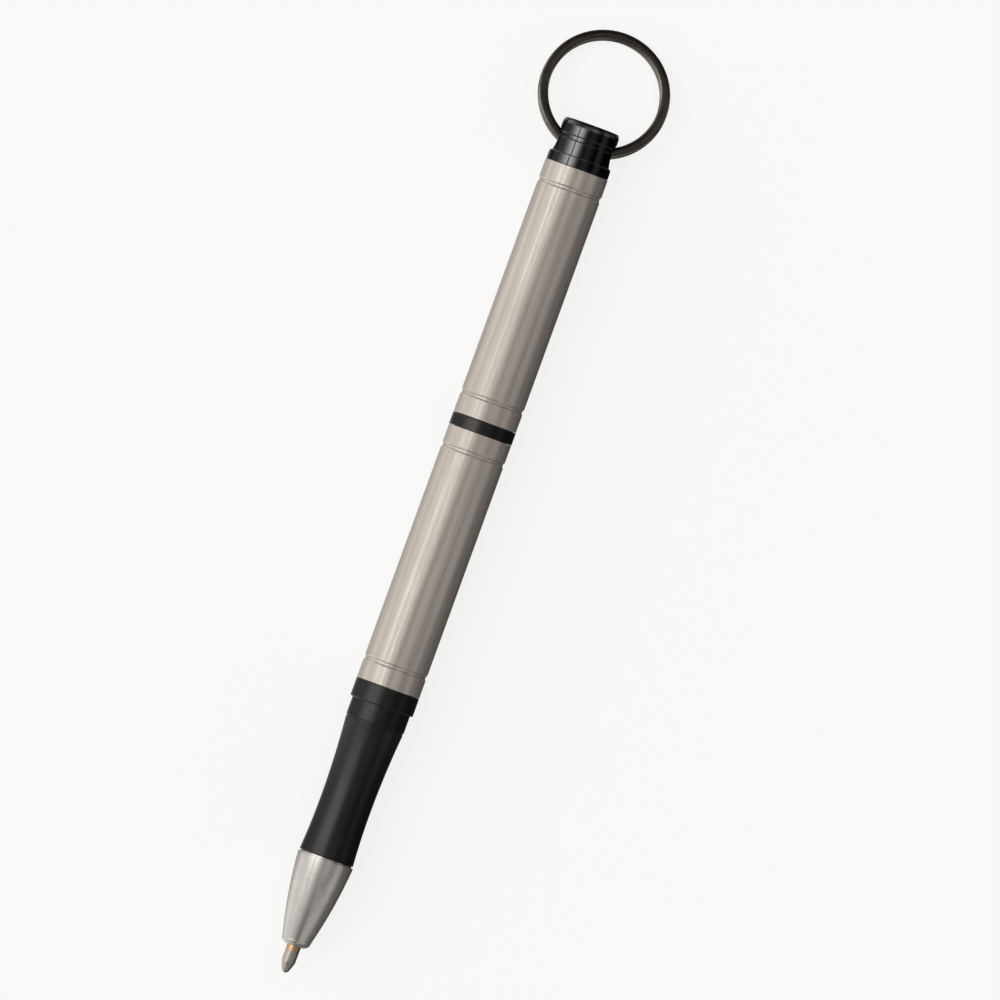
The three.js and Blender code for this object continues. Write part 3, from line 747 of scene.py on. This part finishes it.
def ink_float():
    r = REFILL["bore_r"] - PRESS_GAP
    waist_r = r - FLOAT["waist"]
    from_end = FLOAT["lip"] + FLOAT["side"]
    return turned("ink_float_moulded", [
        (FLOAT["start"], 0, 0), (FLOAT["start"], r, 0.12), (FLOAT["start"] + FLOAT["lip"], r, 0.08),
        (FLOAT["start"] + from_end, waist_r, 0.08), (FLOAT["end"] - from_end, waist_r, 0.08),
        (FLOAT["end"] - FLOAT["lip"], r, 0.08), (FLOAT["end"], r, 0.12), (FLOAT["end"], 0, 0)],
        SMALL_SEGMENTS)


def ink_column():
    r = REFILL["bore_r"] - PRESS_GAP
    return turned("ink_column_thick", [
        (INK["start"], 0, 0), (INK["start"], r, 0.1), (INK["end"], r, 0.1), (INK["end"], 0, 0)],
        SMALL_SEGMENTS)


def tip_holder():
    """The copper-coloured holder, with two fine turned rings on the part that shows."""
    inner_r = REFILL["bore_r"] - PRESS_GAP
    flange = REFILL["tube_end"] + PRESS_GAP
    socket_r = TIP["shank_r"] + PRESS_GAP
    rings = []
    for x in (HOLDER["end"] - 0.56, HOLDER["end"] - 0.26):
        rings += [(x - 0.05, HOLDER["front_r"], 0.02), (x, HOLDER["front_r"] - 0.035, 0.02),
                  (x + 0.05, HOLDER["front_r"], 0.02)]
    return turned("tip_holder_copper", [
        (HOLDER["start"], HOLDER["ink_r"], 0.05),
        (HOLDER["start"], inner_r, 0.1),
        (flange, inner_r, 0.02),
        (flange, REFILL["tube_r"], 0.03),
        (HOLDER["flange_end"], REFILL["tube_r"], 0.06),
        (HOLDER["flange_end"], HOLDER["nose_r"], 0.05),
        (HOLDER_TAPER["start"], HOLDER["nose_r"], 0.1),
        (HOLDER_TAPER["end"], HOLDER["front_r"], 0.1),
        *rings,
        (HOLDER["end"], HOLDER["front_r"], 0.03),
        (HOLDER["end"], socket_r, 0.02),
        (TIP["shank_start"] - END_ROOM, socket_r, 0.03),
        (TIP["shank_start"] - END_ROOM, HOLDER["ink_r"], 0.03)], SMALL_SEGMENTS)


def writing_tip():
    """The steel tip, with the rim that is rolled over the ball."""
    rim_angle = math.acos(BALL["rim_past_centre"] / BALL["socket_r"])
    seat_angle = math.pi - math.asin(TIP["ink_r"] / BALL["socket_r"])
    steps = 10
    seat = []
    for i in range(steps + 1):
        angle = rim_angle + (seat_angle - rim_angle) * i / steps
        x = BALL["station"] + BALL["socket_r"] * math.cos(angle)
        seat.append((x, BALL["socket_r"] * math.sin(angle), 0))
    rim = (BALL["station"] + BALL["rim_past_centre"], TIP["rim_r"])
    return turned("writing_tip_steel", [
        (TIP["shank_start"], TIP["ink_r"], 0.03),
        (TIP["shank_start"], TIP["shank_r"], 0.05),
        (TIP["start"], TIP["shank_r"], 0.02),
        (TIP["start"], TIP["r"], 0.05),
        (TIP["taper"], TIP["r"], 0.04),
        *bowed((TIP["taper"] + 0.1, TIP["r"] - 0.05), rim, 0.02, 8),
        *seat], SMALL_SEGMENTS)


def writing_ball():
    steps = 24
    outline = []
    for i in range(steps + 1):
        angle = math.pi * i / steps
        x = BALL["station"] - BALL["r"] * math.cos(angle)
        outline.append((x, BALL["r"] * math.sin(angle) * (0 < i < steps), 0))
    return turned("writing_ball_carbide", outline, 48)


# ---- The whole pen ------------------------------------------------------------------------------


def build_pen():
    tube = tube_look()
    gloss = gloss_black_look()
    satin = satin_black_look()
    brass = turned_metal_look("brass", (0.55, 0.37, 0.15), (0.72, 0.52, 0.24), 0.26)
    refill_brass = turned_metal_look("refill_brass", (0.55, 0.42, 0.2), (0.7, 0.55, 0.3), 0.3, 600.0)
    cone = turned_metal_look(
        "cone_steel", (0.6, 0.585, 0.555), (0.7, 0.685, 0.65), 0.22, 7000.0, 0.0000004, 0.8)
    copper = turned_metal_look(
        "holder_copper", (0.62, 0.38, 0.215), (0.8, 0.53, 0.335), 0.26, 6000.0, 0.000001)
    tip = turned_metal_look("tip_steel", (0.47, 0.44, 0.42), (0.62, 0.59, 0.56), 0.42, 8000.0)
    carbide = turned_metal_look(
        "ball_carbide", (0.4, 0.4, 0.42), (0.55, 0.55, 0.57), 0.12, 2000.0, 0.0000005)
    settle(cap_tube(), "cap", "cap_tube", tube)
    settle(cap_end_plug(), "cap", "cap_end_plug", gloss)
    settle(key_ring(), "key_ring", "key_ring", gunmetal_look())
    settle(barrel_tube(), "barrel", "barrel_tube", tube)
    settle(tail_band(), "barrel", "tail_band", satin)
    settle(tail_plug(), "barrel", "tail_plug", gloss)
    settle(thread_bush(), "barrel", "thread_bush", brass)
    settle(thread_shank(), "writing_section", "thread_shank", brass)
    rubber = moulded_look("seal_rubber", (0.012, 0.012, 0.012), (0.022, 0.022, 0.022), 0.7)
    settle(thread_seal(), "writing_section", "thread_seal", rubber)
    settle(grip_section(), "writing_section", "grip_section", satin)
    settle(nose_cone(), "writing_section", "nose_cone", cone)
    settle(refill_tube(), "refill", "refill_tube", refill_brass)
    settle(refill_end_plug(), "refill", "refill_end_plug", refill_brass)
    plastic = moulded_look("float_plastic", (0.68, 0.67, 0.63), (0.78, 0.77, 0.73), 0.45)
    settle(ink_float(), "refill", "ink_float", plastic)
    ink = moulded_look("ink", (0.003, 0.003, 0.006), (0.006, 0.006, 0.012), 0.15, 0.000001)
    settle(ink_column(), "refill", "ink_column", ink)
    settle(tip_holder(), "refill", "tip_holder", copper)
    settle(writing_tip(), "refill", "writing_tip", tip)
    settle(writing_ball(), "ball", "writing_ball", carbide)


def dress_spring():
    """The refill's spring keeps its CAD shape and gets the look of drawn steel wire."""
    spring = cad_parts["refill_spring"]
    look = turned_metal_look("spring_steel", (0.5, 0.5, 0.5), (0.62, 0.62, 0.61), 0.28, 3000.0)
    spring.data.materials.clear()
    spring.data.materials.append(look)


# ---- Studio -------------------------------------------------------------------------------------

# Light round the pen's axis: degrees from straight up (positive on the side of -Y) and brightness.
# SOFT_PANELS stand along the pen, STRIP_LAMP runs across its middle, and TIP_PANELS stand past its tip.
SOFT_PANELS = [
    (-180, 0.35), (-150, 0.1), (-131, 0.12), (-116, 0.2), (-104, 0.22), (-93, 0.15),
    (-84, 0.42), (-68, 0.78), (-60, 0.52), (-50, 0.0), (-40, 0.36), (-28, 0.85),
    (-18, 1.2), (-8, 0.86), (0, 0.6), (8, 0.82), (16, 0.82), (28, 0.6),
    (43, 0.38), (58, 0.62), (75, 1.05), (104, 1.55), (116, 1.35), (131, 0.86),
    (152, 0.62), (180, 0.35)]
STRIP_LAMP = [
    (-180, 0.01), (-88, 0.01), (-76, 0.12), (-64, 0.2), (-50, 0.0), (-36, 0.05),
    (-20, 0.2), (0, 0.08), (8, 0.3), (14, 1.1), (22, 3.0), (31, 4.6),
    (37, 4.8), (37.8, 0.7), (41.8, 0.7), (42.6, 4.8), (48, 4.2), (58, 2.7),
    (70, 1.1), (84, 0.35), (106, 0.25), (122, 0.05), (131, 0.1), (152, 0.4),
    (180, 0.2)]
TIP_PANELS = [
    (-180, 0.1), (-148, 0.08), (-133, 0.13), (-120, 0.15), (-110, 0.12), (-102, 0.2),
    (-95, 0.52), (-83, 0.6), (-65, 0.6), (-56, 0.5), (-50, 0.1), (-43, 0.04),
    (-36, 0.08), (-26, 0.22), (-17, 0.32), (-7, 0.4), (4, 0.5), (14, 0.62),
    (26, 0.74), (40, 0.82), (60, 0.84), (80, 0.92), (95, 1.02), (110, 0.98),
    (125, 0.84), (145, 0.6), (180, 0.1)]
TIP_SKEW = 38  # degrees that the tip's panels turn about the pen's axis on their way past the tip
BRIGHTEST = max(level for _, level in SOFT_PANELS + STRIP_LAMP)
LIGHT_COLOUR = (1.0, 0.975, 0.945)
FLOOR_COLOUR = (0.97, 0.97, 0.965)
FLOOR = dict(glow=0.85, matte=0.22)
BACKDROP_GLOW = 0.93
ROOM_SIZE = 4.0  # metres from the pen to the backdrop


def studio_light():
    """Soft panels along the pen and past its tip, and a strip lamp across it, as a glow from all round."""
    world = bpy.data.worlds.new("studio")
    bpy.context.scene.world = world
    world.use_nodes = True
    tree = world.node_tree
    direction = tree.nodes.new("ShaderNodeTexCoord").outputs["Generated"]
    split = tree.nodes.new("ShaderNodeSeparateXYZ")
    tree.links.new(direction, split.inputs[0])

    def compute(operation, a, b=0.0, c=0.0):
        node = tree.nodes.new("ShaderNodeMath")
        node.operation = operation
        for socket, value in zip(node.inputs, (a, b, c)):
            if isinstance(value, bpy.types.NodeSocket):
                tree.links.new(value, socket)
            else:
                socket.default_value = value
        return node.outputs[0]

    def lamp(levels, share):
        ramp = tree.nodes.new("ShaderNodeValToRGB")
        tree.links.new(share, ramp.inputs["Fac"])
        stops = ramp.color_ramp.elements
        for i, (degrees, level) in enumerate(levels):
            stop = stops[i] if i < 2 else stops.new(1.0)
            stop.position = 0.5 + degrees / 360
            stop.color = (*(level / BRIGHTEST * c for c in LIGHT_COLOUR), 1)
        return ramp.outputs["Color"]

    def fall(value, start, end, low):
        node = tree.nodes.new("ShaderNodeMapRange")
        node.interpolation_type = "SMOOTHSTEP"
        for socket, number in (("From Min", start), ("From Max", end), ("To Min", 1.0), ("To Max", low)):
            node.inputs[socket].default_value = number
        tree.links.new(value, node.inputs["Value"])
        return node.outputs["Result"]

    def blend(share, first, second):
        node = tree.nodes.new("ShaderNodeMix")
        node.data_type = "RGBA"
        tree.links.new(share, node.inputs["Factor"])
        tree.links.new(first, node.inputs[6])
        tree.links.new(second, node.inputs[7])
        return node.outputs[2]

    towards = compute("MULTIPLY", split.outputs["Y"], -1.0)
    angle = compute("ARCTAN2", towards, split.outputs["Z"])
    share = compute("MULTIPLY_ADD", angle, 1 / (2 * math.pi), 0.5)
    before_skew = fall(split.outputs["X"], 0.1, 0.58, 0.0)
    skew = compute("MULTIPLY_ADD", before_skew, TIP_SKEW / 360, -TIP_SKEW / 360)
    tip_share = compute("FRACT", compute("ADD", share, skew))
    towards_lamp = compute("ABSOLUTE", compute("ADD", split.outputs["X"], 0.04))
    before_tip = fall(split.outputs["X"], 0.14, 0.24, 0.0)
    panels = blend(before_tip, lamp(TIP_PANELS, tip_share), lamp(SOFT_PANELS, share))
    glow = blend(fall(towards_lamp, 0.07, 0.2, 0.0), panels, lamp(STRIP_LAMP, share))
    background = tree.nodes["Background"]
    tree.links.new(glow, background.inputs["Color"])
    # the panels end some way past the pen's ends, so a face that looks along the pen sees less light
    past_tip = fall(split.outputs["X"], 0.6, 0.95, 0.65)
    past_ring = fall(compute("MULTIPLY", split.outputs["X"], -1.0), 0.35, 0.8, 0.15)
    ends = compute("MULTIPLY", past_tip, past_ring)
    tree.links.new(compute("MULTIPLY", ends, BRIGHTEST), background.inputs["Strength"])


def stage_piece(name, mesh, glow, matte):
    """A floor or backdrop that only the camera sees, and that the pen's shadow falls on."""
    made = bpy.data.objects.new(name, mesh)
    bpy.context.scene.collection.objects.link(made)
    look = bpy.data.materials.new(name)
    look.use_nodes = True
    shader = look.node_tree.nodes["Principled BSDF"]
    shader.inputs["Base Color"].default_value = (*(matte * c for c in FLOOR_COLOUR), 1)
    shader.inputs["Roughness"].default_value = 1.0
    shader.inputs["Specular IOR Level"].default_value = 0.0
    shader.inputs["Emission Color"].default_value = (*FLOOR_COLOUR, 1)
    shader.inputs["Emission Strength"].default_value = glow
    mesh.materials.append(look)
    made.visible_diffuse = False
    made.visible_glossy = False
    made.visible_transmission = False
    made.visible_shadow = False
    return made


def build_stage():
    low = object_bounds()[0].z - 0.00001
    size = ROOM_SIZE * 1.5
    floor = bpy.data.meshes.new("floor")
    floor.from_pydata([(-size, -size, low), (size, -size, low), (size, size, low), (-size, size, low)],
                      [], [(0, 1, 2, 3)])
    stage_piece("floor", floor, FLOOR["glow"], FLOOR["matte"])
    steps = 48
    backdrop = bpy.data.meshes.new("backdrop")
    top = low + ROOM_SIZE
    places = []
    for i in range(steps):
        angle = 2 * math.pi * i / steps
        x, y = ROOM_SIZE * math.cos(angle), ROOM_SIZE * math.sin(angle)
        places += [(x, y, low - 0.01), (x, y, top)]
    walls = [(2 * i, 2 * i + 1, (2 * i + 3) % (2 * steps), (2 * i + 2) % (2 * steps)) for i in range(steps)]
    backdrop.from_pydata(places, [], walls)
    stage_piece("backdrop", backdrop, BACKDROP_GLOW, 0.0)


# The camera looks straight down, a long lens away, with the pen's tip towards the lower left.
CAMERA = dict(lens=600.0, sensor=36.0, width_seen=0.1515, aim=(-0.00267, 0.00621), roll=110.0)


def build_camera():
    data = bpy.data.cameras.new("camera")
    data.lens = CAMERA["lens"]
    data.sensor_width = CAMERA["sensor"]
    camera = bpy.data.objects.new("camera", data)
    bpy.context.scene.collection.objects.link(camera)
    distance = CAMERA["width_seen"] * CAMERA["lens"] / CAMERA["sensor"]
    camera.location = (*CAMERA["aim"], AXIS_Z + distance)
    camera.rotation_euler = (0, 0, math.radians(CAMERA["roll"]))
    data.clip_end = 3 * ROOM_SIZE
    bpy.context.scene.camera = camera


build_pen()
dress_spring()
studio_light()
build_stage()
build_camera()
bpy.context.scene.view_settings.view_transform = "Standard"
